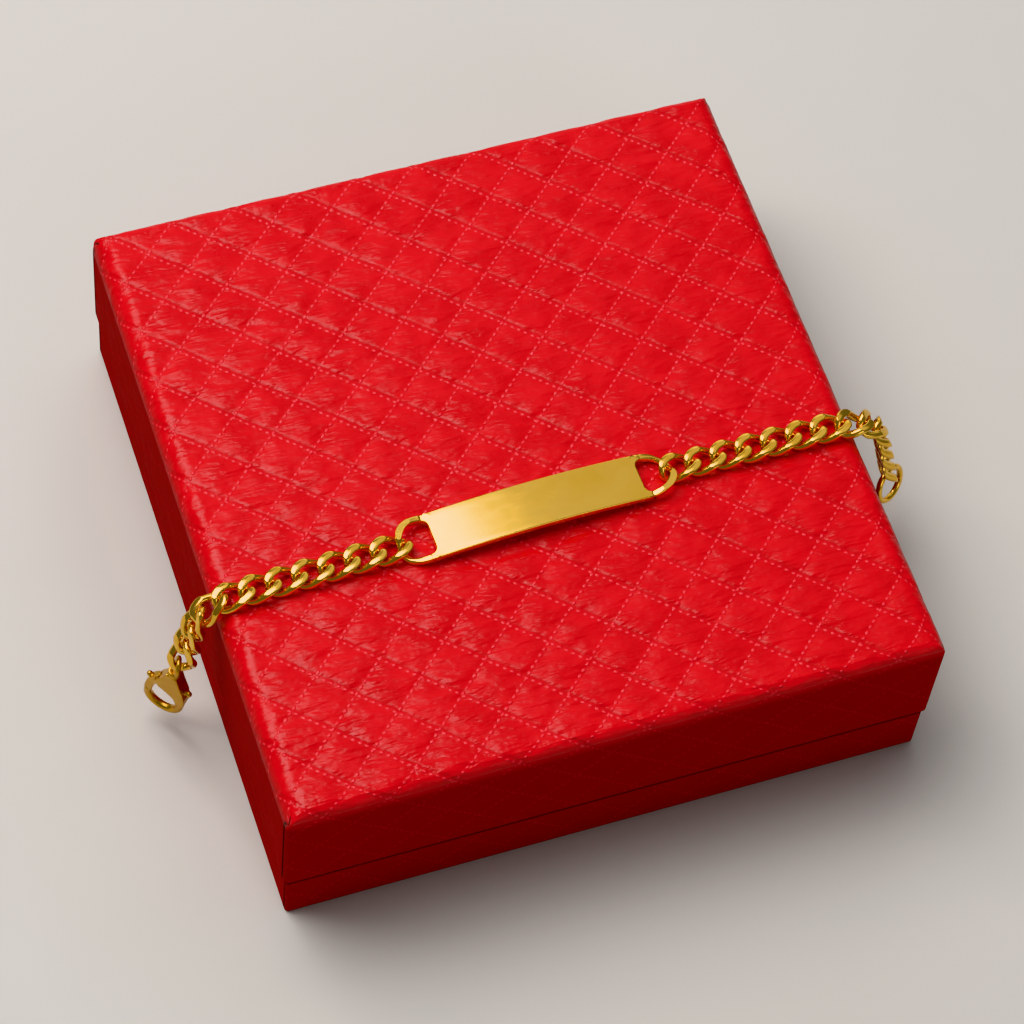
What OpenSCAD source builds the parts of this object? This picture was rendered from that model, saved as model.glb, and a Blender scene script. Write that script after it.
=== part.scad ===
// Nameplate bracelet lying across its closed gift box, in millimetres.
// The origin is the middle of the box's underside, X runs along the bracelet and Z is up.

/* [Box] */
// outer width of the box, along the bracelet
box_w = 90; // [90:0.5:96]
// outer depth of the box
box_d = 92.4; // [84:0.4:110]
// height of the closed box
box_h = 28.2; // [27:0.4:34]
// height of the seam between base and lid
seam_h = 9.6; // [9:0.2:14]
// thickness of the covered board
board = 2; // [1.6:0.1:2.4]
// rounding of the lid's two top edges that the bracelet hangs over
edge_r = 3; // [2.6:0.1:3.2]
// rounding of the lid's front and back top edges
front_r = 1.6; // [1.2:0.1:2.6]
// rounding of the upright corners
corner_r = 0.8; // [0.5:0.1:1.2]

/* [Nameplate] */
// length over both bows
plate_len = 39.1; // [37.5:0.1:39.2]
// width of the plate
plate_w = 6.8; // [6.6:0.1:7.2]
// thickness of the plate
plate_t = 1.05; // [0.9:0.05:1.2]
// rise of the arched plate in its middle
plate_rise = 0.8; // [0.4:0.1:1.4]
// turn of the plate on the lid, in degrees
plate_turn = 1.7; // [1.4:0.1:2]

/* [Chain] */
// distance from one link to the next
link_pitch = 3.6; // [3.56:0.01:3.62]
// thickness of the links' wire
wire_d = 1.06; // [1:0.02:1.08]
// width of a link over its wire
link_w = 4.1; // [4.06:0.02:4.2]
// thickness of the chain over its flattened faces
chain_t = 1.84; // [1.8:0.02:1.88]

/* [Clasp] */
// length of the clasp from its collar to its hook
clasp_len = 12.6; // [11.8:0.1:12.8]
// thickness of the clasp's flat body
clasp_t = 1.9; // [1.8:0.05:2.2]
// thickness of the hook's wire
hook_d = 1.16; // [1.1:0.02:1.24]
// lean of the hanging clasp out of the upright, in degrees
clasp_lean = 11.6; // [8:0.2:14]

/* [End ring] */
// outer diameter of the ring
ring_d = 6; // [5.6:0.1:6.4]
// thickness of the ring's wire
ring_wire = 0.9; // [0.8:0.02:0.94]

/* [Hidden] */
$fn = 64;
left_links = 11;
right_links = 13;
lid_gap = 0.15;
wire_r = wire_d / 2;
ring_r = ring_wire / 2;
hook_r = hook_d / 2;

// middle height of the flat chain on the lid
chain_z = box_h + chain_t / 2 + lid_gap;

// one link's centreline: half length, half width, rise of its twist
link_play = 0.12;
bend_give = 0.1;
link_a = link_pitch / 2 + wire_r + link_play;
link_b = link_w / 2 - wire_r;
link_rise = 0.84;
link_stations = 16;
link_sides = 6;

// the plate's own length from its middle to the centreline of a bow
bow_wire = 0.94;
bow_reach = plate_len / 2 - bow_wire / 2;
bow_depth = 3.9;
rail_w = 0.85;
slot_end = 14.6;
slot_fillet = 1;
plate_x = -0.55;
plate_y = -12.1;
plate_r = (slot_end * slot_end + plate_rise * plate_rise) / (2 * plate_rise);

// where the first link meets a bow, measured out from the plate's middle
first_reach = bow_reach - (bow_wire / 2 + wire_r + 0.15) / 2;

// each half of the chain: side, first y, drift in y, radius over the edge, slope of the hanging
// part and how far that part leans to the front as it falls
left_half = [-1, -12.75, -0.04, 5.85, 77, 0.08];
right_half = [1, -11.4, 0.006, 7.5, 76, 0];
half_side = 0;
half_y = 1;
half_drift = 2;
half_radius = 3;
half_slope = 4;
half_lean = 5;

// turn of the last left links about their own length, as the clasp pulls them round
left_twist = [for (i = [1:left_links]) i < 9 ? 0 : i == 9 ? -6 : i == 10 ? -20 : -34];

// where the left end of the clasp's swivel holds the last link, and how the clasp's flat side faces
eye_station = -18;
eye_shift = [0.35, 0, -0.1];
clasp_face = -47;

// swivel eye: its ring, stem and head, and the collar round them
eye_hole_r = 0.76;
eye_wire_r = 0.36;
stem_r = 0.3;
head_r = 0.5;
turn_gap = 0.08;
collar_r = 0.88;
neck_gap = 0.06;
collar_top = -(eye_hole_r + 2 * eye_wire_r + neck_gap);
collar_len = 1.35;
stem_len = 0.6;
head_top = collar_top - stem_len;
head_len = 0.4;

// clasp outline: across from its middle and up from the collar's top, both as shares, so that
// [1, -1] is half its width across and its whole length down
hook_w = 6.06;
hook_reach = hook_w / 2 - hook_r;
hook_y = -(clasp_len - hook_w / 2);
function on_clasp(p) = [p[0] * hook_w / 2, p[1] * clasp_len];
shoulder = [
    [0.28, -0.071],
    [0.4, -0.143],
    [0.6, -0.238],
    [0.79, -0.333],
    [0.93, -0.429],
    [1, -0.524]];
mouth_side = [
    [0.56, -0.556],
    [0.41, -0.516],
    [0.165, -0.48],
    [-0.066, -0.456]];
neck_side = [
    [-0.43, -0.23],
    [-0.315, -0.151],
    [-0.28, -0.071]];
lever_back = [
    [-0.58, -0.286],
    [-0.76, -0.35],
    [-0.924, -0.436],
    [-1, -0.54]];
lever_front = [
    [-0.61, -0.524],
    [-0.51, -0.476],
    [-0.365, -0.456]];
arm_top = -0.603 * clasp_len;
lever_end = -0.76 * clasp_len;

// the lever's pin and tongue, the cheeks beside it, and its tip's clearance from the hook
pivot = on_clasp([-0.23, -0.35]);
pivot_r = 0.28;
pivot_gap = 0.06;
tongue_t = 0.6;
tongue_r = 0.75;
tongue_gap = 0.12;
cheek_r = 1.15;
root_r = 1.3;
tip_rise = 0.87;
tip_r = norm([-hook_reach, hook_y + tip_rise] - pivot);
tip_gap = 0.14;

// the two ball nubs, and the first one's stem
nub_r = 0.42;
body_nub = on_clasp([0.974, -0.341]);
lever_nub = on_clasp([-0.99, -0.42]);
nub_stem_r = 0.45;
nub_stem_len = 0.65;

function two(i) = i < 10 ? str("0", i) : str(i);
function left_name(i) = str("chain_link_left_", two(i));
function right_name(i) = str("chain_link_right_", two(i));

function unit(v) = v / norm(v);

// Route of a half chain, seen from the front: distance along it to [outward, up].
// It lies flat on the lid, bends over the lid's edge and then hangs.
drape_start = box_w / 2 - edge_r + 0.35;
function start_x(half) = first_reach * cos(plate_turn) + half[half_side] * plate_x;
function route(half, s) =
    let (
        x0 = start_x(half),
        x1 = drape_start,
        r = half[half_radius],
        slope = half[half_slope],
        flat = x1 - x0,
        bend = r * slope * PI / 180,
        angle = (s - flat) / r * 180 / PI,
        rest = s - flat - bend)
    s <= flat ? [x0 + s, chain_z]
    : s <= flat + bend ? [x1 + r * sin(angle), chain_z - r + r * cos(angle)]
    : [
        x1 + r * sin(slope) + rest * cos(slope),
        chain_z - r + r * cos(slope) - rest * sin(slope)];

function route_point(half, s) =
    let (p = route(half, s))
    [
        half[half_side] * p[0],
        half[half_y] + (p[0] - start_x(half)) * half[half_drift] + (p[1] - chain_z) * half[half_lean],
        p[1]];

// Steps along the route, each found by halving an interval. A step is one pitch long, and a
// little less over the lid's edge, where the links slide closer.
function pitch_at(half, s) =
    let (
        flat = drape_start - start_x(half),
        bend = half[half_radius] * half[half_slope] * PI / 180)
    s > flat - link_pitch && s < flat + bend ? link_pitch - bend_give : link_pitch;
function step_from(half, s, low, high, n = 18) =
    n == 0 ? (low + high) / 2
    : let (middle = (low + high) / 2)
        norm(route_point(half, middle) - route_point(half, s)) < pitch_at(half, s)
            ? step_from(half, s, middle, high, n - 1)
            : step_from(half, s, low, middle, n - 1);
function steps(half, n, s = 0) =
    n == 0 ? [s]
    : concat([s], steps(half, n - 1, step_from(half, s, s + 0.8 * link_pitch, s + 1.2 * link_pitch)));

left_steps = steps(left_half, left_links);
right_steps = steps(right_half, right_links);
left_points = [for (s = left_steps) route_point(left_half, s)];
right_points = [for (s = right_steps) route_point(right_half, s)];

// Frame of the link between two points: columns along, across and up, then its middle.
function link_frame(a, b, side, twist) =
    let (
        along = unit(b - a),
        up = unit(cross(along, [0, side, 0])),
        across = cross(up, along),
        across_t = across * cos(twist) + up * sin(twist),
        up_t = up * cos(twist) - across * sin(twist))
    [along, across_t, up_t, (a + b) / 2];
function place(frame, p) =
    frame[0] * p[0] + frame[1] * p[1] + frame[2] * p[2] + frame[3];

module at_frame(frame) {
    multmatrix([
        [frame[0][0], frame[1][0], frame[2][0], frame[3][0]],
        [frame[0][1], frame[1][1], frame[2][1], frame[3][1]],
        [frame[0][2], frame[1][2], frame[2][2], frame[3][2]],
        [0, 0, 0, 1]])
        children();
}

// A curb link: a twisted oval of wire, its two broad faces flattened.
function link_centre(t) = [link_a * cos(t), link_b * sin(t), -link_rise * sin(2 * t)];
function link_heading(t) =
    unit([-link_a * sin(t), link_b * cos(t), -2 * link_rise * cos(2 * t)]);
function link_outward(t) =
    let (h = link_heading(t), o = [cos(t) / link_a, sin(t) / link_b, 0])
    unit(o - h * (o * h));
function flattened(p) = [p[0], p[1], max(-chain_t / 2, min(chain_t / 2, p[2]))];
function link_point(i, j) =
    let (
        t = 360 * i / link_stations,
        q = 360 * (j + 0.5) / link_sides,
        out = link_outward(t),
        side = cross(link_heading(t), out))
    flattened(link_centre(t) + wire_r * (cos(q) * out + sin(q) * side));

// Triangles of a closed loop of rings.
function loop_faces(rings, sides) = [
    for (i = [0:rings - 1])
        for (j = [0:sides - 1])
            let (
                here = i * sides,
                next = ((i + 1) % rings) * sides,
                k = (j + 1) % sides)
            for (face = [[here + j, next + k, here + k], [here + j, next + j, next + k]])
                face];

module curb_link() {
    polyhedron(
        points = [
            for (i = [0:link_stations - 1])
                for (j = [0:link_sides - 1])
                    link_point(i, j)],
        faces = loop_faces(link_stations, link_sides),
        convexity = 4);
}

module chain_link_left(i) {
    color([0.83, 0.66, 0.22])
        at_frame(link_frame(left_points[i - 1], left_points[i], -1, left_twist[i - 1]))
            curb_link();
}

module chain_link_right(i) {
    color([0.83, 0.66, 0.22])
        at_frame(link_frame(right_points[i - 1], right_points[i], 1, 0))
            curb_link();
}

// Box: a shouldered base and a lid that lifts off it.
module rounded_bar(w, h, r) {
    union() {
        square([w - 2 * r, h], center = true);
        square([w, h - 2 * r], center = true);
        for (x = [-1, 1])
            for (y = [-1, 1])
                translate([x * (w / 2 - r), y * (h / 2 - r)])
                    circle(r);
    }
}

module block(w, d, z0, z1, r) {
    translate([0, 0, z0])
        linear_extrude(z1 - z0)
            rounded_bar(w, d, r);
}

module box_base() {
    inset = 0.4;
    neck_h = box_h - board - 3;
    color([0.66, 0.02, 0.05])
        difference() {
            union() {
                block(box_w - 2 * inset, box_d - 2 * inset, 0, seam_h, corner_r);
                block(box_w - 2 * board - 0.6, box_d - 2 * board - 0.6, seam_h - 1, neck_h, corner_r);
            }
            block(box_w - 4 * board - 0.6, box_d - 4 * board - 0.6, board, box_h, corner_r);
        }
}

// The lid's outer form is where three rounded outlines meet: from above, the front and the side.
module box_lid() {
    seam_gap = 0.3;
    foot = seam_h + seam_gap;
    color([0.8, 0.02, 0.06])
        difference() {
            intersection() {
                block(box_w, box_d, foot, box_h, corner_r);
                rotate([90, 0, 0])
                    linear_extrude(box_d + 2, center = true)
                        translate([0, (box_h + foot) / 2 - edge_r])
                            rounded_bar(box_w, box_h - foot + 2 * edge_r, edge_r);
                rotate([90, 0, 90])
                    linear_extrude(box_w + 2, center = true)
                        translate([0, (box_h + foot) / 2 - front_r])
                            rounded_bar(box_d, box_h - foot + 2 * front_r, front_r);
            }
            block(box_w - 2 * board, box_d - 2 * board, foot - 1, box_h - board, corner_r);
        }
}

// Nameplate: an arched slab with a slot at each end, closed by a twisted bow of wire.
function bow_centre(t) = [
    bow_reach - bow_depth + bow_depth * pow(max(cos(t), 0), 0.8),
    (plate_w - rail_w) / 2 * sign(sin(t)) * pow(abs(sin(t)), 0.9),
    -link_rise * sin(180 * sign(t) * pow(abs(t) / 90, 0.75))];
function bow_heading(t) =
    let (step = 0.5, a = max(-90, t - step), b = min(90, t + step))
    abs(t) > 89 ? [-sign(t), 0, 0] : unit(bow_centre(b) - bow_centre(a));
bow_stations = 20;
bow_sides = 8;
function bow_angle(i) = 180 * i / (bow_stations - 1) - 90;
function bow_point(i, j) =
    let (
        t = bow_angle(i),
        h = bow_heading(t),
        out = unit(cross(h, [0, 0, 1])),
        side = cross(h, out),
        q = 360 * (j + 0.5) / bow_sides,
        swell = bow_wire / 2 / cos(180 / bow_sides),
        rail = rail_w / bow_wire + (1 - rail_w / bow_wire) * cos(t))
    flattened(bow_centre(t) + swell * (rail * cos(q) * out + sin(q) * side));
function tube_faces(rings, sides) = concat(
    [[for (j = [0:sides - 1]) j]],
    [[for (j = [0:sides - 1]) (rings - 1) * sides + sides - 1 - j]],
    [
        for (i = [0:rings - 2])
            for (j = [0:sides - 1])
                let (here = i * sides, next = here + sides, k = (j + 1) % sides)
                for (face = [[here + j, next + k, here + k], [here + j, next + j, next + k]])
                    face]);

module bow() {
    polyhedron(
        points = [
            for (i = [0:bow_stations - 1])
                for (j = [0:bow_sides - 1])
                    bow_point(i, j)],
        faces = tube_faces(bow_stations, bow_sides),
        convexity = 4);
}

module nameplate() {
    rail_end = bow_reach - bow_depth + 0.5;
    slot_w = plate_w - 2 * rail_w;
    color([0.86, 0.7, 0.28])
        translate([plate_x, plate_y, chain_z])
            rotate([0, 0, plate_turn])
                union() {
                    intersection() {
                        translate([0, 0, plate_rise - plate_r])
                            rotate([90, 0, 0])
                                difference() {
                                    cylinder(r = plate_r + plate_t / 2, h = 12, center = true, $fn = 360);
                                    cylinder(r = plate_r - plate_t / 2, h = 14, center = true, $fn = 360);
                                }
                        translate([0, 0, -5])
                            linear_extrude(10)
                                difference() {
                                    square([2 * rail_end, plate_w], center = true);
                                    for (side = [-1, 1])
                                        translate([side * (slot_end + 4), 0])
                                            rounded_bar(8, slot_w, slot_fillet);
                                }
                    }
                    for (turn = [0, 180])
                        rotate([0, 0, turn])
                            bow();
                }
}

// Clasp frame: x across its flat side, y up its length, z out of its flat side.
last_frame = link_frame(
    left_points[left_links - 1], left_points[left_links], -1, left_twist[left_links - 1]);
held = place(last_frame, link_centre(eye_station)) + eye_shift;
held_wire =
    let (h = link_heading(eye_station))
    last_frame[0] * h[0] + last_frame[1] * h[1] + last_frame[2] * h[2];
clasp_u = [cos(clasp_face), sin(clasp_face), 0];
clasp_x = clasp_u * cos(clasp_lean) - [0, 0, 1] * sin(clasp_lean);
clasp_y = clasp_u * sin(clasp_lean) + [0, 0, 1] * cos(clasp_lean);
clasp_z = cross(clasp_x, clasp_y);
clasp_frame = [clasp_x, clasp_y, clasp_z, held];
eye_turn = atan2(held_wire * clasp_x, held_wire * clasp_z);

module down_cylinder(r, top, length) {
    translate([0, top, 0])
        rotate([90, 0, 0])
            cylinder(r = r, h = length);
}

module swivel_eye() {
    eye_r = eye_hole_r + eye_wire_r;
    color([0.8, 0.62, 0.2])
        at_frame(clasp_frame)
            union() {
                rotate([0, eye_turn, 0])
                    rotate_extrude()
                        translate([eye_r, 0])
                            circle(eye_wire_r, $fn = 32);
                down_cylinder(stem_r, -eye_r, -head_top - eye_r + head_len / 2);
                down_cylinder(head_r, head_top, head_len);
            }
}

// The clasp's flat body: its edges run from the collar to the hook's arm, and under the lever.
module trunk_outline() {
    arm_out = hook_w / 2;
    union() {
        polygon(concat(
            [for (p = shoulder) on_clasp(p)],
            [[arm_out, arm_top], [arm_out - hook_d, arm_top]],
            [for (p = mouth_side) on_clasp(p)],
            [pivot - [0, cheek_r], pivot + cheek_r * [-cos(30), sin(30)]],
            [for (p = neck_side) on_clasp(p)]));
        translate(pivot)
            circle(cheek_r);
    }
}

// Room for the lever's tongue between the two cheeks, over the lever's whole swing.
module tongue_room() {
    reach = 2 * cheek_r + tongue_gap;
    translate(pivot)
        union() {
            circle(tongue_r + tongue_gap);
            polygon(concat([[0, 0]], [for (q = [138:38:290]) reach * [cos(q), sin(q)]]));
        }
}

module slab_of(t) {
    linear_extrude(t, center = true)
        children();
}

module pin_at_pivot(r, t) {
    translate([pivot[0], pivot[1], 0])
        cylinder(r = r, h = t, center = true);
}

module clasp_body() {
    stem_hole_r = stem_r + turn_gap;
    head_hole_r = head_r + turn_gap;
    color([0.74, 0.56, 0.18])
        at_frame(clasp_frame)
            translate([0, collar_top, 0])
                union() {
                    difference() {
                        union() {
                            down_cylinder(collar_r, 0, collar_len);
                            slab_of(clasp_t)
                                trunk_outline();
                        }
                        down_cylinder(stem_hole_r, 1, 1 + stem_len + head_len);
                        down_cylinder(head_hole_r, turn_gap - stem_len, head_len + 2 * turn_gap);
                        slab_of(tongue_t + 2 * tongue_gap)
                            tongue_room();
                    }
                    pin_at_pivot(pivot_r, clasp_t - 0.1);
                    translate([body_nub[0] - nub_stem_len, body_nub[1], 0])
                        rotate([0, 90, 0])
                            cylinder(r1 = nub_stem_r, r2 = nub_stem_r / 2, h = nub_stem_len, $fn = 32);
                    translate(body_nub)
                        sphere(nub_r, $fn = 32);
                    translate([hook_reach, 0, 0])
                        down_cylinder(hook_r, arm_top + hook_r, arm_top + hook_r - hook_y);
                    translate([0, hook_y, 0])
                        rotate([0, 0, 180])
                            rotate_extrude(angle = 180)
                                translate([hook_reach, 0])
                                    circle(hook_r);
                    difference() {
                        translate([-hook_reach, 0, 0])
                            down_cylinder(hook_r, hook_y + tip_rise, tip_rise);
                        pin_at_pivot(tip_r + tip_gap, 3);
                    }
                }
}

// The lever closes the hook's mouth: a thick curved arm with a thin tongue on the pivot.
module lever_outline() {
    arm_out = -hook_w / 2;
    arm_in = arm_out + hook_d;
    polygon(concat(
        [for (p = lever_back) on_clasp(p)],
        [[arm_out, lever_end], [arm_in, lever_end], [arm_in, arm_top + hook_r / 2]],
        [for (p = lever_front) on_clasp(p)],
        [pivot]));
}

module clasp_lever() {
    color([0.8, 0.62, 0.2])
        at_frame(clasp_frame)
            translate([0, collar_top, 0])
                union() {
                    difference() {
                        intersection() {
                            slab_of(hook_d)
                                lever_outline();
                            pin_at_pivot(tip_r, 3);
                        }
                        pin_at_pivot(root_r, 3);
                    }
                    difference() {
                        slab_of(tongue_t)
                            union() {
                                translate(pivot)
                                    circle(tongue_r);
                                intersection() {
                                    lever_outline();
                                    translate(pivot)
                                        circle(root_r + 0.3);
                                }
                            }
                        pin_at_pivot(pivot_r + pivot_gap, 3);
                    }
                    translate(lever_nub)
                        sphere(nub_r, $fn = 32);
                }
}

// End ring, hanging in the last right link.
last_right = link_frame(right_points[right_links - 1], right_points[right_links], 1, 0);
ring_reach = (ring_d - ring_wire) / 2;
ring_top = place(last_right, [link_a - wire_r - ring_r - 0.4, 0, 0]);
ring_face = 34;
ring_lean = 17;

module end_ring() {
    color([0.76, 0.58, 0.18])
        translate(ring_top)
            rotate([90 - ring_lean, 0, ring_face])
                translate([0, -ring_reach, 0])
                    rotate_extrude()
                        translate([ring_reach, 0])
                            circle(ring_r, $fn = 32);
}

box_base();
box_lid();
nameplate();
for (i = [1:left_links])
    chain_link_left(i);
for (i = [1:right_links])
    chain_link_right(i);
swivel_eye();
clasp_body();
clasp_lever();
end_ring();
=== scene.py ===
# Gold nameplate bracelet lying across a closed gift box in quilted red leatherette
import math

import bmesh
import bpy
from mathutils import Matrix, Vector, noise


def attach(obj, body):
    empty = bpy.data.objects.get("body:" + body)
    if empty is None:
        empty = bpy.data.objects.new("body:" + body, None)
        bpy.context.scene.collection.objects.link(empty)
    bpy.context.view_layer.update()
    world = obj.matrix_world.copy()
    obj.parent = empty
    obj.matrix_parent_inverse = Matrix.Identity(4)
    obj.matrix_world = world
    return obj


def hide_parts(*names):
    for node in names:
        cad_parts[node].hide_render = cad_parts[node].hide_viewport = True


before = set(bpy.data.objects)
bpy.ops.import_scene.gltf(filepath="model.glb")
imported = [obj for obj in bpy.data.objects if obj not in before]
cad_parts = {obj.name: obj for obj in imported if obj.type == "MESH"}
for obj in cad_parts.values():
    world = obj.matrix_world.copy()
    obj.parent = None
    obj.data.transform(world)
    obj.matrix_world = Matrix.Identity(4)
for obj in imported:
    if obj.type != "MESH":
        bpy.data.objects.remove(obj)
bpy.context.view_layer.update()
scene = bpy.context.scene
millimetre = 0.001
toMetres = Matrix.Scale(millimetre, 4)  # pieces are made in millimetres and scaled as they are finished
touching = 0.0001  # millimetres within which a vertex lies on a plane


# a place whose axes run along three directions
def placeAlong(spot, x, y, z):
    return Matrix.Translation(spot) @ Matrix((x, y, z)).transposed().to_4x4()


# camera at the photograph's viewing angle
cameraSetup = dict(
    spot=(-0.11401, -0.24640, 0.46653),
    right=(0.94631, -0.31583, 0.06891),
    up=(0.23991, 0.82904, 0.50510),
    back=(-0.21666, -0.46145, 0.86030),
    lens=136.16,
    sensor=36,
    nearest=0.02,
)


def makeCamera(setup):
    data = bpy.data.cameras.new("photoCamera")
    data.lens = setup["lens"]
    data.sensor_width = setup["sensor"]
    data.clip_start = setup["nearest"]
    camera = bpy.data.objects.new("photoCamera", data)
    camera.matrix_world = placeAlong(setup["spot"], setup["right"], setup["up"], setup["back"])
    scene.collection.objects.link(camera)
    scene.camera = camera


makeCamera(cameraSetup)
scene.view_settings.view_transform = "Khronos PBR Neutral"  # keeps the red rich and the highlights cream


# shader maths: a socket that can be used in an expression
class Wire:
    def __init__(self, finish, out):
        self.finish = finish
        self.out = out

    def maths(self, operation, *others):
        return self.finish.add("ShaderNodeMath", dict(operation=operation), [self, *others])

    def __add__(self, other):
        return self.maths("ADD", other)

    def __radd__(self, other):
        return self.maths("ADD", other)

    def __sub__(self, other):
        return self.maths("SUBTRACT", other)

    def __rsub__(self, other):
        return self.finish.add("ShaderNodeMath", dict(operation="SUBTRACT"), [other, self])

    def __mul__(self, other):
        return self.maths("MULTIPLY", other)

    def __rmul__(self, other):
        return self.maths("MULTIPLY", other)

    def size(self):
        return self.maths("ABSOLUTE")

    def orMore(self, other):
        return self.maths("MAXIMUM", other)


# one material's nodes
class Finish:
    def __init__(self, name, fixed):
        self.material = bpy.data.materials.new(name)
        self.material.use_nodes = True
        self.nodes = self.material.node_tree.nodes
        self.links = self.material.node_tree.links
        self.shader = self.nodes["Principled BSDF"]
        for socket, value in fixed.items():
            self.shader.inputs[socket].default_value = value

    # adds a node: its settings first, then a value or a link for each socket
    def add(self, kind, settings=None, inputs=(), out=0):
        node = self.nodes.new(kind)
        for key, value in (settings or {}).items():
            setattr(node, key, value)
        pairs = inputs.items() if isinstance(inputs, dict) else enumerate(inputs)
        for key, value in pairs:
            if isinstance(value, Wire):
                self.links.new(value.out, node.inputs[key])
            else:
                node.inputs[key].default_value = value
        return Wire(self, node.outputs[out])

    def feed(self, socket, wire):
        self.links.new(wire.out, self.shader.inputs[socket])

    def stretch(self, vector, scale):
        return self.add("ShaderNodeMapping", inputs={"Vector": vector, "Scale": scale})

    # object coordinates in metres
    def spot(self, scale=(1, 1, 1)):
        return self.stretch(self.add("ShaderNodeTexCoord", out="Object"), scale)

    def axis(self, vector, name):
        return self.add("ShaderNodeSeparateXYZ", inputs=[vector], out=name)

    def speckle(self, vector, scale, detail=2.0, rough=0.5):
        inputs = {"Vector": vector, "Scale": scale, "Detail": detail, "Roughness": rough}
        return self.add("ShaderNodeTexNoise", inputs=inputs)

    def spread(self, value, low, high, newLow=0.0, newHigh=1.0):
        ends = [value, low, high, newLow, newHigh]
        return self.add("ShaderNodeMapRange", dict(interpolation_type="SMOOTHSTEP"), ends)

    # bumps: depth is what a height of 1 stands for, in millimetres
    def relief(self, height, depth, strength=1.0):
        inputs = {"Strength": strength, "Distance": depth * millimetre, "Height": height}
        return self.add("ShaderNodeBump", inputs=inputs)

    # each colour is a wire or its red, green and blue
    def blendColours(self, share, first, second):
        first, second = [c if isinstance(c, Wire) else (*c, 1) for c in (first, second)]
        return self.add("ShaderNodeMix", dict(data_type="RGBA"), {0: share, 6: first, 7: second}, out=2)


# wear that all the golds share: the ends of each noise and how much one counts beside the other
goldWear = dict(
    patchEnds=(0.35, 0.7),
    patchShare=0.5,
    scratchEnds=(0.45, 1.05),
    scratchShare=0.2,
    strength=0.5,
)


def goldFinish(name, gold):
    finish = Finish(name, {"Metallic": 1.0})
    patches = finish.speckle(finish.spot(), gold["patch"], detail=4.0, rough=0.6)
    scratches = finish.speckle(finish.spot(gold["stretch"]), gold["scratch"], detail=3.0, rough=0.7)
    tarnish = finish.spread(patches, *goldWear["patchEnds"])
    finish.feed("Base Color", finish.blendColours(tarnish, gold["bright"], gold["deep"]))
    wear = scratches + patches * goldWear["patchShare"]
    finish.feed("Roughness", finish.spread(wear, *goldWear["scratchEnds"], *gold["rough"]))
    waves = patches + scratches * goldWear["scratchShare"]
    finish.feed("Normal", finish.relief(waves, gold["wave"], goldWear["strength"]))
    return finish.material


# gold of the chain: polished, with a little tarnish in patches and hair scratches
chainGold = dict(
    bright=(0.90, 0.56, 0.13),
    deep=(0.80, 0.46, 0.08),
    rough=(0.12, 0.2),
    patch=420,
    scratch=2600,
    stretch=(1, 1, 1),
    wave=0.004,
)
goldChain = goldFinish("goldChain", chainGold)

# gold of the blank plate: satin wear along its length
plateGold = dict(
    bright=(0.88, 0.55, 0.13),
    deep=(0.84, 0.51, 0.10),
    rough=(0.13, 0.19),
    patch=160,
    scratch=1500,
    stretch=(0.3, 1, 1),
    wave=0.01,
)
goldPlate = goldFinish("goldPlate", plateGold)

# cast gold of the clasp: duller and browner than the chain
claspGold = dict(
    bright=(0.62, 0.35, 0.06),
    deep=(0.57, 0.31, 0.045),
    rough=(0.27, 0.31),
    patch=500,
    scratch=1600,
    stretch=(1, 1, 1),
    wave=0.004,
)
goldClasp = goldFinish("goldClasp", claspGold)
print("golds made")


# makes an object of a bmesh in millimetres with its material, hangs it on its body and hides the CAD
# nodes it stands for
def finishPiece(name, bm, material, body, nodes, place=None):
    if place is not None:
        bmesh.ops.transform(bm, matrix=place, verts=bm.verts)
    bmesh.ops.transform(bm, matrix=toMetres, verts=bm.verts)
    mesh = bpy.data.meshes.new(name)
    bm.to_mesh(mesh)
    bm.free()
    piece = bpy.data.objects.new(name, mesh)
    scene.collection.objects.link(piece)
    mesh.materials.append(material)
    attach(piece, body)
    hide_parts(*nodes)
    return piece


def allParts(bm):
    return bm.verts[:] + bm.edges[:] + bm.faces[:]


def openEdges(bm):
    return [e for e in bm.edges if e.is_boundary]


def smoothFaces(bm):
    for face in bm.faces:
        face.smooth = True


# adds a part's bmesh to the whole and frees the part
def addTo(whole, part):
    mesh = bpy.data.meshes.new("part")
    part.to_mesh(mesh)
    whole.from_mesh(mesh)
    part.free()
    bpy.data.meshes.remove(mesh)


def rectangle(halfX, halfY, cellsX=1, cellsY=1):
    bm = bmesh.new()
    bmesh.ops.create_grid(bm, x_segments=cellsX, y_segments=cellsY, size=1)
    bmesh.ops.scale(bm, vec=(halfX, halfY, 1), verts=bm.verts)
    return bm


# cuts every face at places along one axis
def cutAcross(bm, axis, places):
    for place in places:
        direction = Vector((axis == 0, axis == 1, axis == 2))
        bmesh.ops.bisect_plane(bm, geom=allParts(bm), plane_co=direction * place, plane_no=direction)


# extrudes open edges; gives the new open edges and the new vertices
def extrudeRim(bm, edges):
    made = bmesh.ops.extrude_edge_only(bm, edges=edges)["geom"]
    rim = [g for g in made if isinstance(g, bmesh.types.BMEdge) and g.is_boundary]
    return rim, [g for g in made if isinstance(g, bmesh.types.BMVert)]


# extrudes open edges straight down in equal rows
def pullDown(bm, edges, rows, fall):
    for _ in range(rows):
        edges, low = extrudeRim(bm, edges)
        bmesh.ops.translate(bm, vec=(0, 0, -fall / rows), verts=low)
    return edges


ringWire = 0.25


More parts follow.
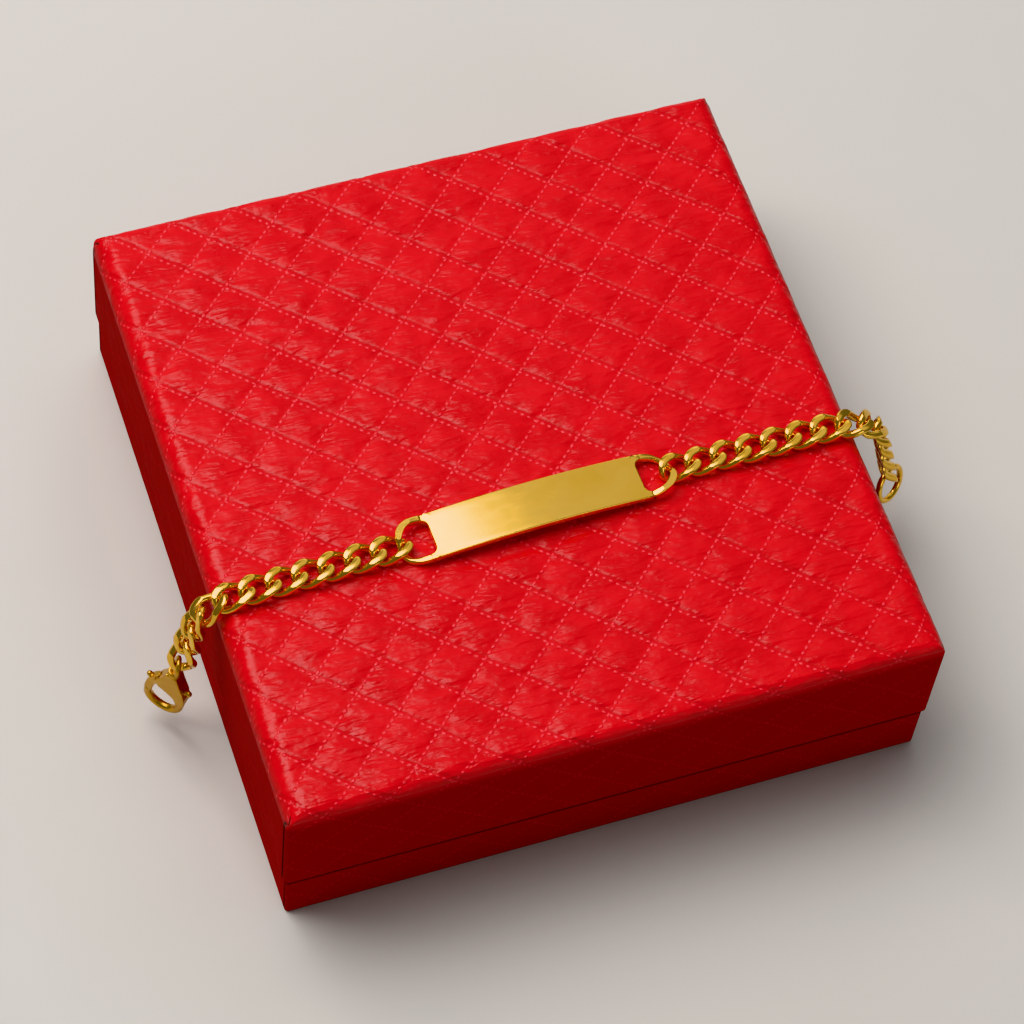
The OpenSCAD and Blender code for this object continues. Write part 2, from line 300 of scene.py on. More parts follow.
# a closed ring of wire: ring radius 1, wire radius ringWire
def wireRing(stations, sides):
    bm = bmesh.new()
    stand = Matrix.Translation((1, 0, 0)) @ Matrix.Rotation(math.pi / 2, 4, "X")
    bmesh.ops.create_circle(bm, segments=sides, radius=ringWire, matrix=stand)
    bmesh.ops.spin(bm, geom=bm.verts[:] + bm.edges[:], cent=(0, 0, 0), axis=(0, 0, 1),
                   angle=2 * math.pi, steps=stations, use_merge=True)
    bmesh.ops.remove_doubles(bm, verts=bm.verts, dist=touching)
    return bm


# where a vertex of wireRing goes on a round ring of another size
def ringSpot(spot, radius, wire):
    around = math.hypot(spot.x, spot.y)
    reach = radius + (around - 1) / ringWire * wire
    return spot.x / around * reach, spot.y / around * reach, spot.z / ringWire * wire


# filed faces: how near the file's plane a rim lies, its least bend in radians, and a flat normal
filing = dict(rimGap=0.00001, rimBend=0.12, flat=0.9995)


# files both broad faces flat above a height, or presses them to a low crown, and bevels the rims
def flattenFaces(bm, height, bevel, crown=0.0):
    for side in (1, -1):
        bmesh.ops.bisect_plane(bm, geom=allParts(bm), plane_co=(0, 0, side * height),
                               plane_no=(0, 0, side), clear_outer=not crown)
    bmesh.ops.holes_fill(bm, edges=openEdges(bm), sides=0)
    bmesh.ops.recalc_face_normals(bm, faces=bm.faces)
    for vert in bm.verts:
        if abs(vert.co.z) > height:
            vert.co.z = math.copysign(height + (abs(vert.co.z) - height) * crown, vert.co.z)
    rims = [e for e in bm.edges if all(abs(abs(v.co.z) - height) < filing["rimGap"] for v in e.verts)]
    rims = [e for e in rims if len(e.link_faces) == 2 and e.calc_face_angle(0) > filing["rimBend"]]
    bmesh.ops.bevel(bm, geom=rims, offset=bevel, segments=2, profile=0.5, affect="EDGES",
                    material=-1, clamp_overlap=True)
    for face in bm.faces:
        face.smooth = bool(crown) or abs(face.normal.z) < filing["flat"]


# chain: its links, and the height and edge that both halves follow
chain = dict(
    pitch=3.6,
    wire=0.55,
    halfLength=2.45,
    halfWidth=1.52,
    twistRise=0.84,
    halfThick=0.92,
    flatBevel=0.05,
    crown=0.22,
    stations=56,
    sides=18,
    height=29.27,
    overEdge=42.35,
    bendGive=0.1,
    stepEnds=(0.8, 1.2),
    halvings=18,
)

# routes from the plate over the lid's edge and down; rolls are degrees about the route, by link
chainHalves = dict(
    left=dict(
        side=-1,
        count=11,
        start=18.497,
        y=-12.75,
        drift=-0.04,
        radius=5.85,
        slope=77,
        lean=0.08,
        rolls={9: -6, 10: -20, 11: -34},
    ),
    right=dict(
        side=1,
        count=13,
        start=18.497,
        y=-11.4,
        drift=0.006,
        radius=7.5,
        slope=76,
        lean=0,
        rolls={},
    ),
)


def routeStart(half):
    return half["start"] + half["side"] * plate["x"]


# spot some millimetres along a half's route: level, then round the bend, then straight and steep
def routeSpot(half, along):
    start = routeStart(half)
    flat = chain["overEdge"] - start
    slope = math.radians(half["slope"])
    radius = half["radius"]
    if along <= flat:
        out, z = start + along, chain["height"]
    elif along <= flat + radius * slope:
        angle = (along - flat) / radius
        out = chain["overEdge"] + radius * math.sin(angle)
        z = chain["height"] - radius + radius * math.cos(angle)
    else:
        rest = along - flat - radius * slope
        out = chain["overEdge"] + radius * math.sin(slope) + rest * math.cos(slope)
        z = chain["height"] - radius + radius * math.cos(slope) - rest * math.sin(slope)
    y = half["y"] + (out - start) * half["drift"] + (z - chain["height"]) * half["lean"]
    return Vector((half["side"] * out, y, z))


# joints between the links: each lies a pitch from the last, a little less round the bend
def routeSpots(half):
    flat = chain["overEdge"] - routeStart(half)
    bend = half["radius"] * math.radians(half["slope"])
    along = 0.0
    spots = [routeSpot(half, along)]
    for _ in range(half["count"]):
        closer = flat - chain["pitch"] < along < flat + bend
        pitch = chain["pitch"] - (chain["bendGive"] if closer else 0)
        low, high = [along + share * chain["pitch"] for share in chain["stepEnds"]]
        for _ in range(chain["halvings"]):
            middle = (low + high) / 2
            near = (routeSpot(half, middle) - spots[-1]).length < pitch
            low, high = (middle, high) if near else (low, middle)
        along = (low + high) / 2
        spots.append(routeSpot(half, along))
    return spots


# place of the link between two spots of the route, rolled about it
def linkPlace(first, second, side, roll):
    along = (second - first).normalized()
    up = along.cross(Vector((0, side, 0))).normalized()
    across = up.cross(along)
    cosine, sine = math.cos(math.radians(roll)), math.sin(math.radians(roll))
    across, up = across * cosine + up * sine, up * cosine - across * sine
    return placeAlong((first + second) / 2, along, across, up)


def linkCentre(t):
    return Vector((chain["halfLength"] * math.cos(t), chain["halfWidth"] * math.sin(t),
                   -chain["twistRise"] * math.sin(2 * t)))


def linkHeading(t):
    return Vector((-chain["halfLength"] * math.sin(t), chain["halfWidth"] * math.cos(t),
                   -2 * chain["twistRise"] * math.cos(2 * t))).normalized()


# a curb link: a ring of wire bent along its twisted oval, both broad faces filed
def curbLink():
    bm = wireRing(chain["stations"], chain["sides"])
    for vert in bm.verts:
        x, y, z = vert.co
        t = math.atan2(y, x)
        heading = linkHeading(t)
        outward = Vector((math.cos(t) / chain["halfLength"], math.sin(t) / chain["halfWidth"], 0))
        outward = (outward - heading * outward.dot(heading)).normalized()
        sideways = heading.cross(outward)
        reach = (math.hypot(x, y) - 1) / ringWire
        vert.co = linkCentre(t) + chain["wire"] * (reach * outward - z / ringWire * sideways)
    flattenFaces(bm, chain["halfThick"] - chain["crown"] / 2, chain["flatBevel"], chain["crown"])
    return bm


def makeLinks(halves):
    for word, half in halves.items():
        spots = routeSpots(half)
        for i in range(half["count"]):
            node = f"chain_link_{word}_{i + 1:02d}"
            place = linkPlace(spots[i], spots[i + 1], half["side"], half["rolls"].get(i + 1, 0))
            finishPiece(f"curbLink_{word}_{i + 1:02d}", curbLink(), goldChain, "bracelet",
                        [node], place)


# nameplate: an arched blank slab with a slot at each end, closed by a twisted bow
plate = dict(
    x=-0.55,
    y=-12.1,
    turn=1.7,
    length=39.1,
    width=6.8,
    thick=1.05,
    rise=0.8,
    arc=133.6,
    slotEnd=14.6,
    rail=0.85,
    railLap=0.5,
    slotFillet=1.0,
    rim=0.16,
    rimBend=1.2,
    slice=0.9,
    slices=15,
    bowWire=0.94,
    bowDepth=3.9,
    bowCurve=dict(depth=0.8, width=0.9, fall=3, twist=0.75),
    squareFrom=55,
    squareness=5,
    bowStations=44,
    bowSides=20,
)


def archHeight(x):
    return math.sqrt(plate["arc"] ** 2 - x ** 2) - plate["arc"] + plate["rise"]


# the plate's flat outline with its two open slots, thickened
def slottedSlab():
    slotHalf = plate["width"] / 2 - plate["rail"]
    railEnd = (plate["length"] - plate["bowWire"]) / 2 - plate["bowDepth"] + plate["railLap"]
    bm = rectangle(railEnd, plate["width"] / 2)
    cutAcross(bm, 0, (-plate["slotEnd"], plate["slotEnd"]))
    cutAcross(bm, 1, (-slotHalf, slotHalf))
    slots = [face for face in bm.faces if abs(face.calc_center_median().x) > plate["slotEnd"]
             and abs(face.calc_center_median().y) < slotHalf]
    bmesh.ops.delete(bm, geom=slots, context="FACES")
    made = bmesh.ops.extrude_face_region(bm, geom=bm.faces[:])["geom"]
    lifted = [g for g in made if isinstance(g, bmesh.types.BMVert)]
    bmesh.ops.translate(bm, vec=(0, 0, plate["thick"]), verts=lifted)
    bmesh.ops.translate(bm, vec=(0, 0, -plate["thick"] / 2), verts=bm.verts)
    bmesh.ops.recalc_face_normals(bm, faces=bm.faces)
    return bm


# whether an edge stands upright in a corner of a slot
def inSlotCorner(edge):
    one, other = [v.co for v in edge.verts]
    slotHalf = plate["width"] / 2 - plate["rail"]
    gaps = (one.x - other.x, one.y - other.y, abs(one.x) - plate["slotEnd"], abs(one.y) - slotHalf)
    return all(abs(gap) < touching for gap in gaps)


# whether an edge is level and sharp
def onPlateRim(edge):
    one, other = [v.co for v in edge.verts]
    sharp = len(edge.link_faces) == 2 and edge.calc_face_angle(0) > plate["rimBend"]
    return sharp and abs(one.z - other.z) < touching


def plateSlab():
    bm = slottedSlab()
    corners = [e for e in bm.edges if inSlotCorner(e)]
    bmesh.ops.bevel(bm, geom=corners, offset=plate["slotFillet"], segments=8, profile=0.5,
                    affect="EDGES", material=-1)
    rims = [e for e in bm.edges if onPlateRim(e)]
    bmesh.ops.bevel(bm, geom=rims, offset=plate["rim"], segments=3, profile=0.5,
                    affect="EDGES", material=-1)
    cutAcross(bm, 0, [i * plate["slice"] for i in range(-plate["slices"], plate["slices"] + 1)])
    for vert in bm.verts:
        vert.co.z += archHeight(vert.co.x)
    smoothFaces(bm)
    return bm


# centreline of a bow, from one rail (-90 degrees) round to the other (90)
def bowCentre(angle):
    reach = (plate["length"] - plate["bowWire"]) / 2
    curve = plate["bowCurve"]
    share = abs(angle) / 90
    sine, cosine = math.sin(math.radians(angle)), max(math.cos(math.radians(angle)), 0)
    twist = math.radians(math.copysign(180, angle) * share ** curve["twist"])
    return Vector((
        reach - plate["bowDepth"] * (1 - cosine ** curve["depth"]),
        (plate["width"] - plate["rail"]) / 2 * math.copysign(abs(sine) ** curve["width"], sine),
        archHeight(reach - plate["bowDepth"]) * share ** curve["fall"]
        - chain["twistRise"] * math.sin(twist)))


# direction of a bow's centreline, straight along the rails at both ends
def bowHeading(angle, step=0.5):
    if abs(angle) > 89:
        return Vector((-math.copysign(1, angle), 0, 0))
    return (bowCentre(min(90, angle + step)) - bowCentre(max(-90, angle - step))).normalized()


# a straight tube of radius 1 and length 1, closed at both ends
def straightTube(stations, sides):
    bm = bmesh.new()
    bmesh.ops.create_circle(bm, segments=sides, radius=1)
    pullDown(bm, bm.edges[:], stations, -1)
    bmesh.ops.holes_fill(bm, edges=openEdges(bm), sides=0)
    return bm


# a bow: a tube bent round its centreline, squared where it grows out of the rails
def plateBow():
    bm = straightTube(plate["bowStations"], plate["bowSides"])
    for vert in bm.verts:
        angle = vert.co.z * 180 - 90
        heading = bowHeading(angle)
        outward = heading.cross(Vector((0, 0, 1))).normalized()
        sideways = heading.cross(outward)
        around = math.atan2(vert.co.y, vert.co.x)
        square = max(0.0, (abs(angle) - plate["squareFrom"]) / (90 - plate["squareFrom"]))
        power = 2 / (2 + plate["squareness"] * square)
        cosine = math.copysign(abs(math.cos(around)) ** power, math.cos(around))
        sine = math.copysign(abs(math.sin(around)) ** power, math.sin(around))
        bulge = math.cos(math.radians(angle))
        wide = (plate["rail"] + (plate["bowWire"] - plate["rail"]) * bulge) / 2
        tall = (plate["thick"] + (plate["bowWire"] - plate["thick"]) * bulge) / 2
        vert.co = bowCentre(angle) + wide * cosine * outward + tall * sine * sideways
    flattenFaces(bm, chain["halfThick"], chain["flatBevel"])
    return bm


def makePlate():
    whole = plateSlab()
    for turn in (0, math.pi):
        bow = plateBow()
        bmesh.ops.rotate(bow, cent=(0, 0, 0), matrix=Matrix.Rotation(turn, 3, "Z"), verts=bow.verts)
        addTo(whole, bow)
    turn = Matrix.Rotation(math.radians(plate["turn"]), 4, "Z")
    place = Matrix.Translation((plate["x"], plate["y"], chain["height"])) @ turn
    piece = finishPiece("blankPlate", whole, goldPlate, "bracelet", ["nameplate"], place)
    even = piece.modifiers.new("evenNormals", "WEIGHTED_NORMAL")
    even.keep_sharp = True


makeLinks(chainHalves)
print("links made")
makePlate()
print("plate made")

# clasp frame: across its flat side, up its length, out of its flat side, then the eye's middle
claspAxes = dict(
    across=(0.668069, -0.716416, -0.201078),
    up=(0.137135, -0.147059, 0.979575),
    out=(-0.731354, -0.681998, 0),
    eye=(-50.3136, -14.9162, 16.3026),
)
claspPlace = placeAlong(claspAxes["eye"], claspAxes["across"], claspAxes["up"], claspAxes["out"])

# the clasp's castings: how far their edges are softened, and the ribs round the collar
casting = dict(
    voxel=0.06,
    passes=26,
    collarTop=-1.54,
    collarLen=1.35,
    collarRadius=0.88,
    rib=0.11,
    ribShares=(0.12, 0.4, 0.68),
    ribStations=40,
    ribSides=12,
)


# a casting: the solid's form with its edges softened, worked in the clasp's own frame
def makeCasting(name, node, body, extra=None):
    bm = bmesh.new()
    bm.from_mesh(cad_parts[node].data)
    bmesh.ops.remove_doubles(bm, verts=bm.verts, dist=1e-6)
    bmesh.ops.transform(bm, matrix=claspPlace.inverted() @ toMetres.inverted(), verts=bm.verts)
    if extra:
        extra(bm)
    mesh = bpy.data.meshes.new(name + "Rough")
    bm.to_mesh(mesh)
    bm.free()
    rough = bpy.data.objects.new(name + "Rough", mesh)
    scene.collection.objects.link(rough)
    remesh = rough.modifiers.new("cast", "REMESH")
    remesh.mode = "VOXEL"
    remesh.voxel_size = casting["voxel"]
    soften = rough.modifiers.new("soften", "SMOOTH")
    soften.factor = 0.5
    soften.iterations = casting["passes"]
    graph = bpy.context.evaluated_depsgraph_get()
    bm = bmesh.new()
    bm.from_mesh(rough.evaluated_get(graph).to_mesh())
    bpy.data.objects.remove(rough)
    bpy.data.meshes.remove(mesh)
    smoothFaces(bm)
    finishPiece(name, bm, goldClasp, body, [node], claspPlace)


def collarRibs(bm):
    for share in casting["ribShares"]:
        drop = casting["collarTop"] - share * casting["collarLen"]
        rib = wireRing(casting["ribStations"], casting["ribSides"])
        for vert in rib.verts:
            x, y, z = ringSpot(vert.co, casting["collarRadius"], casting["rib"])
            vert.co = (x, drop + z, y)
        bmesh.ops.recalc_face_normals(rib, faces=rib.faces)
        addTo(bm, rib)


makeCasting("claspTrunk", "clasp_body", "clasp", collarRibs)
makeCasting("claspLeverArm", "clasp_lever", "lever")
makeCasting("swivelEye", "swivel_eye", "bracelet")
print("clasp made")

# end ring: hangs from its top in the last right link, turned and leaning by some degrees
endRing = dict(
    radius=2.55,
    wire=0.45,
    top=(52.3852, -11.1934, 12.5226),
    face=34,
    lean=17,
    stations=72,
    sides=24,
)


def makeEndRing():
    bm = wireRing(endRing["stations"], endRing["sides"])
    for vert in bm.verts:
        vert.co = ringSpot(vert.co, endRing["radius"], endRing["wire"])
    bmesh.ops.recalc_face_normals(bm, faces=bm.faces)
    smoothFaces(bm)
    turn = Matrix.Rotation(math.radians(endRing["face"]), 4, "Z")
    stand = Matrix.Rotation(math.radians(90 - endRing["lean"]), 4, "X")
    hang = Matrix.Translation((0, -endRing["radius"], 0))
    place = Matrix.Translation(endRing["top"]) @ (turn @ stand) @ hang
    finishPiece("endRing", bm, goldChain, "bracelet", ["end_ring"], place)


makeEndRing()
print("ring made")

# box: the closed gift box, lid over a shouldered base
box = dict(
    halfWidth=45.0,
    halfDepth=46.2,
    top=28.2,
    seam=9.6,
    seamGap=0.3,
    board=2.0,
    edge=3.0,
    frontEdge=1.6,
    corner=0.8,
    baseCorner=0.48,
    neck=2.3,
    neckTop=23.2,
    cell=0.5,
    slit=1.1,
    slitWidth=0.2,
    slitDepth=0.6,
    slitReach=0.8,
)

# quilting: two families of stitched lines, each as lines per millimetre across and along, and a start;
# wisp, fold and crumple are wrinkles, each as a noise's scales with its layer, dimension, lacunarity
# and octaves
quilt = dict(
    falling=(0.1139, 0.1217, -0.633),
    rising=(0.1161, -0.1267, -0.33),
    stitch=1.0,
    stitchEdge=(0.27, 0.072),
    stitchSquash=0.5,
    grooveOff=0.5,
    grooveWidth=0.48,
    creaseDepth=0.07,
    creaseWidth=0.5,
    creaseMost=1.3,
    puff=0.11,
    puffWidth=1.4,
    wisp=((0.28, 0.85, 3.0), 0.9, 2.1, 4),
    wispDepth=0.12,
    wispShares=(0.5, 0.6),
    wispNear=1.5,
    fold=((0.11, 0.16, 9.0), 0.8, 2.0, 3),
    foldDepth=0.08,
    crumple=((0.5, 0.5, 5.0), 0.9, 2.0, 2),
    crumpleDepth=0.05,
    crumpleInset=1.5,
    crumpleWidth=2.5,
    sink=0.1,
    fadeDrop=4.0,
    edgeShare=0.5,
    cornerFade=3.0,
)

# red leatherette: colours, gloss, noise scales, depths, and the millimetres where each thing fades
cover = dict(
    lit=(0.70, 0.002, 0.008),
    dark=(0.61, 0.001, 0.006),
    # painted shade: the darker red that the walls below the rolled edge and the base take
    side=(0.31, 0.0, 0.0),
    shadow=(0.305, 0.0005, 0.003),
    shadowShare=0.2,
    # light pink of the stitch dots: a painted highlight
    paintedStitchHighlight=(0.90, 0.06, 0.08),
    # painted shade: near-black red for the seam under the lid and the slits beside the corners
    gap=(0.03, 0.0, 0.0),
    gapShadeShare=0.92,
    shine=0.32,
    rough=(0.26, 0.40),
    roughEnds=(0.5, 1.1),
    sideRough=0.25,
    cloud=260,
    cloudEnds=(0.3, 0.7),
    grain=1500,
    grainShare=0.6,
    grainDepth=0.022,
    wisp=(0.32, 0.9, 1),
    wispEnds=(0.3, 0.8),
    wispDepth=0.1,
    shirringX=(0.2, 1.1, 1),
    shirringY=(1.1, 0.2, 1),
    shirringInsets=(4.0, 0.5),
    shirringDepth=0.1,
    stitchDepth=0.08,
    grooveDepth=0.04,
    topDrops=(3.7, 0.3),
    sideShare=0.2,
    seamDrop=0.5,
    seamEdge=(0.7, 0.3),
    slitEdge=(0.34, 0.2),
    wallEdge=(0.01, 0.3),
)
wallShine = 0.01  # the walls below the lid's rolled edge and the base barely shine


# fraction of a number or of a wire
def fraction(x):
    return x.maths("FRACT") if isinstance(x, Wire) else x % 1


# distance from an unrolled place to the nearest line of a family, in numbers or in wires
def lineGap(u, v, family):
    a, b, start = family
    return (fraction(u * a + v * b + (start + 0.5)) - 0.5) * (1 / math.hypot(a, b))


# share that is 1 on the stitches of a family
def stitchShare(finish, u, v, family):
    a, b, _ = family
    step = quilt["stitch"] * math.hypot(a, b)
    off = lineGap(u, v, family)
    along = lineGap(u, v, (-b / step, a / step, 0))
    gap = (off * off + along * along * quilt["stitchSquash"]).maths("POWER", 0.5)
    return finish.spread(gap, *quilt["stitchEdge"])


# share of painted shade in the gaps: 1 in the seam under the lid and in the slits beside the corners
def gapShadeShare(finish, u, v, z, look):
    inSeam = finish.spread((z - (box["seam"] - look["seamDrop"])).size(), *look["seamEdge"])
    inSlit = finish.spread((v.size() - (box["halfDepth"] - box["slit"])).size(), *look["slitEdge"])
    onWall = finish.spread(u.size(), *[box["halfWidth"] + beyond for beyond in look["wallEdge"]])
    return inSeam.orMore(inSlit * onWall)


# puckers of the covering along the two edges that lie half a side from the middle
def shirring(finish, flat, place, half, scale, insets):
    near = finish.spread(place.size(), *[half - inset for inset in insets])
    return finish.speckle(finish.stretch(flat, scale), 1.0, detail=1.0) * near


# leatherette: reads the unrolled place in millimetres that each box piece carries
def coverFinish(name, look):
    finish = Finish(name, {"Specular IOR Level": look["shine"]})
    flat = finish.add("ShaderNodeAttribute", dict(attribute_name="unrolled"), out="Vector")
    u, v = finish.axis(flat, "X"), finish.axis(flat, "Y")
    skin = finish.spot()
    z = finish.axis(skin, "Z") * (1 / millimetre)
    onTop = finish.spread(z, *[box["top"] - drop for drop in look["topDrops"]])
    fade = onTop * (1 - look["sideShare"]) + look["sideShare"]
    falling, rising = [stitchShare(finish, u, v, quilt[family]) for family in ("falling", "rising")]
    stitches = falling.orMore(rising) * fade
    beside = (lineGap(u, v, quilt["falling"]) - quilt["grooveOff"]).size()
    groove = finish.spread(beside, quilt["grooveWidth"], 0.0) * fade
    cloud = finish.speckle(skin, look["cloud"])
    grain = finish.speckle(skin, look["grain"], detail=1.0)
    wisps = finish.speckle(finish.stretch(flat, look["wisp"]), 1.0, detail=2.2)
    wisps = finish.spread(wisps, *look["wispEnds"])

    tone = finish.blendColours(finish.spread(cloud, *look["cloudEnds"]), look["dark"], look["lit"])
    # painted shade: below the rolled edge the walls turn to the darker side red
    tone = finish.blendColours(onTop, look["side"], tone)
    tone = finish.blendColours(groove * look["shadowShare"], tone, look["shadow"])
    # painted highlight: the stitch dots are coloured light pink
    tone = finish.blendColours(stitches, tone, look["paintedStitchHighlight"])
    # painted shade darkens the seam under the lid and the slits beside the corners
    tone = finish.blendColours(gapShadeShare(finish, u, v, z, look) * look["gapShadeShare"], tone, look["gap"])
    finish.feed("Base Color", tone)
    gloss = finish.spread(cloud + grain * look["grainShare"], *look["roughEnds"], *look["rough"])
    finish.feed("Roughness", gloss + (1 - onTop) * look["sideRough"])
    insets = look["shirringInsets"]
    puckersX = shirring(finish, flat, u, box["halfWidth"], look["shirringX"], insets)
    puckersY = shirring(finish, flat, v, box["halfDepth"], look["shirringY"], insets)
    creases = wisps * look["wispDepth"] + (puckersX + puckersY) * look["shirringDepth"]
    height = creases * fade + grain * look["grainDepth"] + stitches * look["stitchDepth"]
    finish.feed("Normal", finish.relief(height - groove * look["grooveDepth"], 1.0))
    return finish.material


redLid = coverFinish("redLid", cover)
redBase = coverFinish("redBase", dict(cover, shine=wallShine))
print("leatherette made")


# unrolled place of a spot on the square-edged box, for the face that looks that way
def unrolled(spot, looks):
    drop = box["top"] - spot.z
    if abs(looks.x) > 0.5:
        return Vector((math.copysign(box["halfWidth"] + drop, spot.x), spot.y, 0))
    if abs(looks.y) > 0.5:
        return Vector((spot.x, math.copysign(box["halfDepth"] + drop, spot.y), 0))
    return Vector((spot.x, spot.y, 0))


def storeUnrolled(bm):
    bm.normal_update()
    layer = bm.loops.layers.float_vector.new("unrolled")
    for face in bm.faces:
        for loop in face.loops:
            loop[layer] = unrolled(loop.vert.co, face.normal)


def bell(x, width):
    return math.exp(-(x / width) ** 2)


def wrinkle(u, v, kind):
    (scaleU, scaleV, layer), *character = kind
    return noise.fractal(Vector((u * scaleU, v * scaleV, layer)), *character)


# height of the quilted leatherette at an unrolled place, inset millimetres from the lid's edge
def quiltHeight(u, v, inset):
    offFalling, offRising = lineGap(u, v, quilt["falling"]), lineGap(u, v, quilt["rising"])
    crease = bell(offFalling, quilt["creaseWidth"]) + bell(offRising, quilt["creaseWidth"])
    pillow = (1 - bell(offFalling, quilt["puffWidth"])) * (1 - bell(offRising, quilt["puffWidth"]))
    near = bell(min(abs(offFalling), abs(offRising)), quilt["wispNear"])
    everywhere, nearLines = quilt["wispShares"]
    height = quilt["puff"] * pillow - quilt["creaseDepth"] * min(crease, quilt["creaseMost"])
    height += quilt["wispDepth"] * wrinkle(u, v, quilt["wisp"]) * (everywhere + nearLines * near)
    height += quilt["foldDepth"] * wrinkle(u, v, quilt["fold"])
    edge = bell(inset - quilt["crumpleInset"], quilt["crumpleWidth"])
    return height + quilt["crumpleDepth"] * wrinkle(u, v, quilt["crumple"]) * edge - quilt["sink"]


# share of the quilting's height that is left down the sides, on the edges and towards the corners
def quiltShare(insetX, insetY, drop):
    share = max(0.0, 1 - drop / quilt["fadeDrop"]) ** 2
    gaps = (insetX, insetY, drop)
    if sum(gap < touching for gap in gaps) > 1:
        share *= quilt["edgeShare"]
    return share * min(1.0, sum(gaps) / quilt["cornerFade"])


# place on a rolled edge of some radius: distance in from the edge and drop below it
def rolled(inset, drop, radius):
    if inset >= radius or drop >= radius:
        return inset, drop
    angle = (radius - inset + drop) / (2 * radius) * math.pi / 2
    return radius * (1 - math.sin(angle)), radius * (1 - math.cos(angle))


# square-edged spot moved onto the lid, with its rolled top edges and rounded upright corners
def rolledSpot(spot):
    drop = box["top"] - spot.z
    insetX, dropX = rolled(box["halfWidth"] - abs(spot.x), drop, box["edge"])
    insetY, dropY = rolled(box["halfDepth"] - abs(spot.y), drop, box["frontEdge"])
    x, y = box["halfWidth"] - insetX, box["halfDepth"] - insetY
    sideX, sideY = box["halfWidth"] - box["corner"], box["halfDepth"] - box["corner"]
    dx, dy = x - sideX, y - sideY
    if dx > 0 and dy > 0:
        shrink = max(dx, dy) / math.hypot(dx, dy)
        x, y = sideX + dx * shrink, sideY + dy * shrink
    return Vector((math.copysign(x, spot.x), math.copysign(y, spot.y), box["top"] - max(dropX, dropY)))


# covering slit on the sides near each upright corner: three cuts, the middle one pushed in
def cutSlits(bm, top):
    place = box["halfDepth"] - box["slit"]
    for side in (-1, 1):
        cutAcross(bm, 1, [side * (place + i * box["slitWidth"] / 2) for i in (-1, 0, 1)])
    for vert in bm.verts:
        onSide = abs(vert.co.x) > box["halfWidth"] - box["slitReach"] and vert.co.z < top
        if onSide and abs(abs(vert.co.y) - place) < touching:
            vert.co.x -= math.copysign(box["slitDepth"], vert.co.x)


# the lid's outside as a square-edged sheet of small cells
def lidSheet(wall):
    across, deep = round(2 * box["halfWidth"] / box["cell"]), round(2 * box["halfDepth"] / box["cell"])
    bm = rectangle(box["halfWidth"], box["halfDepth"], across, deep)
    bmesh.ops.translate(bm, vec=(0, 0, box["top"]), verts=bm.verts)
    pullDown(bm, openEdges(bm), round(wall / box["cell"]), wall)
    bmesh.ops.recalc_face_normals(bm, faces=bm.faces)
    storeUnrolled(bm)
    return bm


# rolls the sheet's edges and raises its quilting
def quiltSheet(bm):
    heights = []
    for vert in bm.verts:
        insetX, insetY = box["halfWidth"] - abs(vert.co.x), box["halfDepth"] - abs(vert.co.y)
        drop = box["top"] - vert.co.z
        onWall = drop >= touching
        looks = Vector((onWall and insetX < touching, onWall and insetY < touching, 0))
        place = unrolled(vert.co, looks)
        height = quiltHeight(place.x, place.y, min(insetX, insetY))
        heights.append(height * quiltShare(insetX, insetY, drop))
    for vert in bm.verts:
        vert.co = rolledSpot(vert.co)
    bm.normal_update()
    for vert, height in zip(bm.verts, heights):
        vert.co += vert.normal * height


# gives the walls below the rolled edges the lid's second material
def markWalls(bm):
    for face in bm.faces:
        middle = face.calc_center_median()
        roll = box["frontEdge"] if abs(middle.y) > box["halfDepth"] - box["cell"] else box["edge"]
        face.material_index = int(middle.z < box["top"] - roll)


# folds the lid's open rim in by a board's thickness and closes its inside
def closeLid(bm, wall):
    edges, inner = extrudeRim(bm, openEdges(bm))
    shrink = Vector((1 - box["board"] / box["halfWidth"], 1 - box["board"] / box["halfDepth"], 1))
    bmesh.ops.scale(bm, vec=shrink, verts=inner)
    edges = pullDown(bm, edges, 1, box["board"] - wall)
    bmesh.ops.holes_fill(bm, edges=edges, sides=0)
    bmesh.ops.recalc_face_normals(bm, faces=bm.faces)


def makeLid():
    wall = box["top"] - box["seam"] - box["seamGap"]
    bm = lidSheet(wall)
    quiltSheet(bm)
    cutSlits(bm, box["top"] - box["edge"])
    smoothFaces(bm)
    markWalls(bm)
    closeLid(bm, wall)
    piece = finishPiece("quiltedLid", bm, redLid, "bracelet", ["box_lid"])
    piece.data.materials.append(redBase)


# the base's sections from its underside up, over the shoulder and down inside: inset and height
def baseSections():
    seam, neck, neckTop = box["seam"], box["neck"], box["neckTop"]
    inside = neck + box["board"]
    return (
        (0.75, 0.0),
        (0.5, 0.08),
        (0.4, 0.4),
        (0.4, seam - 0.9),
        (0.5, seam - 0.45),
        (0.8, seam - 0.1),
        (1.3, seam),
        (neck, seam),
        (neck, neckTop - 0.2),
        (neck + 0.2, neckTop),
        (inside - 0.2, neckTop),
        (inside, neckTop - 0.2),
        (inside, box["board"]),
    )


def makeBase():
    wide, deep = box["halfWidth"], box["halfDepth"]
    bm = rectangle(wide, deep)
    bmesh.ops.bevel(bm, geom=bm.verts[:], offset=box["baseCorner"], segments=6, profile=0.5,
                    affect="VERTICES", material=-1)
    edges, ring = openEdges(bm), bm.verts[:]
    for inset, height in baseSections():
        if height > 0:
            edges, ring = extrudeRim(bm, edges)
        newWide, newDeep = box["halfWidth"] - inset, box["halfDepth"] - inset
        bmesh.ops.scale(bm, vec=(newWide / wide, newDeep / deep, 1), verts=ring)
        wide, deep = newWide, newDeep
        for vert in ring:
            vert.co.z = height
    bmesh.ops.holes_fill(bm, edges=edges, sides=0)
    cutSlits(bm, box["seam"] - box["seamGap"])
    bmesh.ops.recalc_face_normals(bm, faces=bm.faces)
    storeUnrolled(bm)
    finishPiece("trayBase", bm, redBase, "bracelet", ["box_base"])


makeLid()
makeBase()
print("box made")

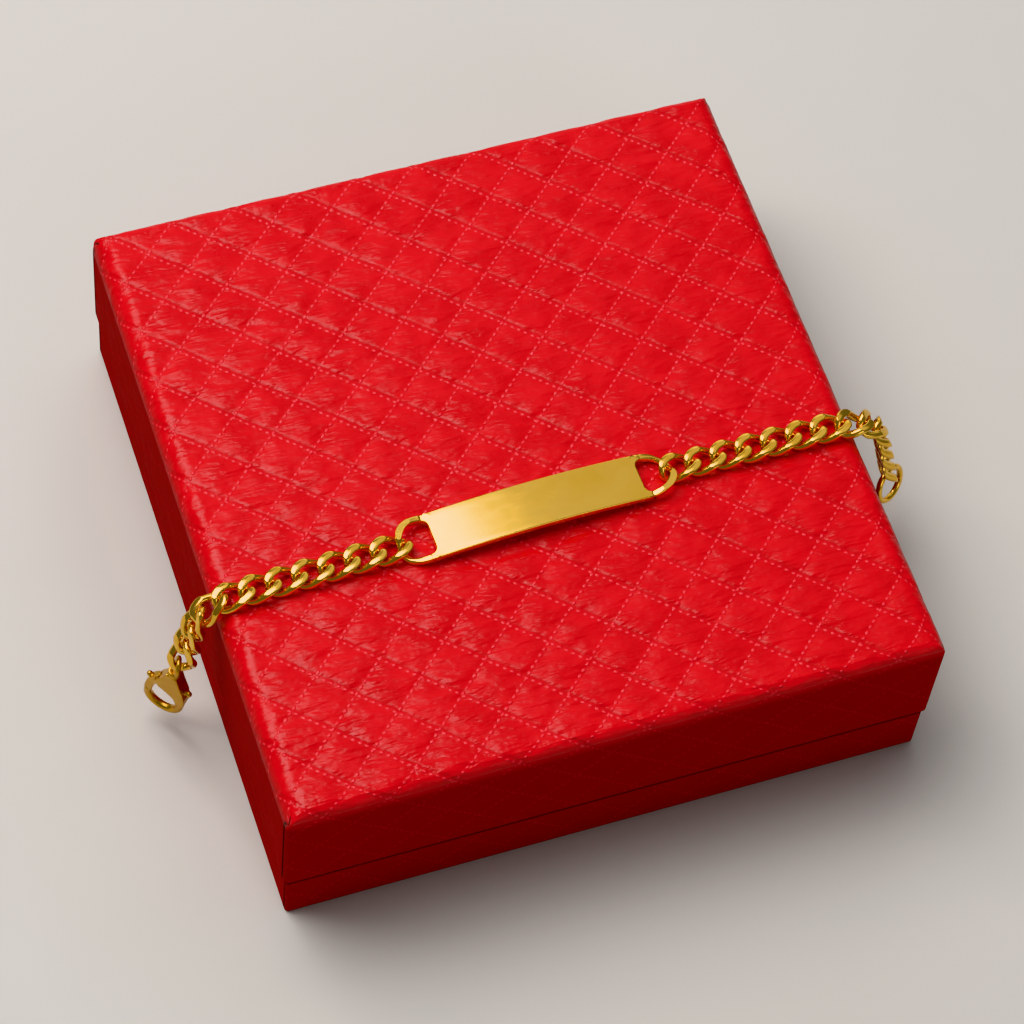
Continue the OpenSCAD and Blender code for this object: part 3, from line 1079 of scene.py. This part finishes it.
# plain pale floor, and soft lamps as name, place, size, power and colour
studio = dict(
    floorColour=(0.62, 0.60, 0.575),
    floorShade=0.97,
    floorGrain=60,
    floorEnds=(0.2, 0.8),
    floorRough=(0.55, 0.7),
    floorHalf=3,
    world=(0.9, 0.95, 1.0),
    worldStrength=0.18,
    aim=(0, 0, 0.02),
    lamps=(
        ("keyLamp", (-0.31, 0.34, 0.88), 0.74, 10.2, (1.0, 0.97, 0.93)),
        ("rightLamp", (0.48, 0.42, 0.9), 0.8, 1.05, (1.0, 0.96, 0.9)),
        ("backLamp", (0.3, 0.9, 0.42), 0.7, 1.2, (1.0, 0.97, 0.93)),
        ("frontLamp", (0.25, -0.85, 0.45), 0.45, 1.0, (1.0, 0.95, 0.88)),
    ),
)


def floorFinish():
    finish = Finish("paleFloor", {})
    grain = finish.speckle(finish.spot(), studio["floorGrain"], detail=3.0)
    low = [c * studio["floorShade"] for c in studio["floorColour"]]
    finish.feed("Base Color", finish.blendColours(grain, low, studio["floorColour"]))
    finish.feed("Roughness", finish.spread(grain, *studio["floorEnds"], *studio["floorRough"]))
    return finish.material


def makeFloor():
    bm = rectangle(studio["floorHalf"], studio["floorHalf"])
    mesh = bpy.data.meshes.new("floor")
    bm.to_mesh(mesh)
    bm.free()
    mesh.materials.append(floorFinish())
    floor = bpy.data.objects.new("floor", mesh)
    scene.collection.objects.link(floor)


def makeLight():
    world = bpy.data.worlds.new("studioWorld")
    world.use_nodes = True
    world.node_tree.nodes["Background"].inputs["Color"].default_value = (*studio["world"], 1)
    world.node_tree.nodes["Background"].inputs["Strength"].default_value = studio["worldStrength"]
    scene.world = world
    for name, spot, size, power, colour in studio["lamps"]:
        data = bpy.data.lights.new(name, "AREA")
        data.size = size
        data.energy = power
        data.color = colour
        lamp = bpy.data.objects.new(name, data)
        lamp.location = spot
        lamp.rotation_euler = (Vector(studio["aim"]) - Vector(spot)).to_track_quat("-Z", "Y").to_euler()
        scene.collection.objects.link(lamp)


makeFloor()
makeLight()
print("studio made")
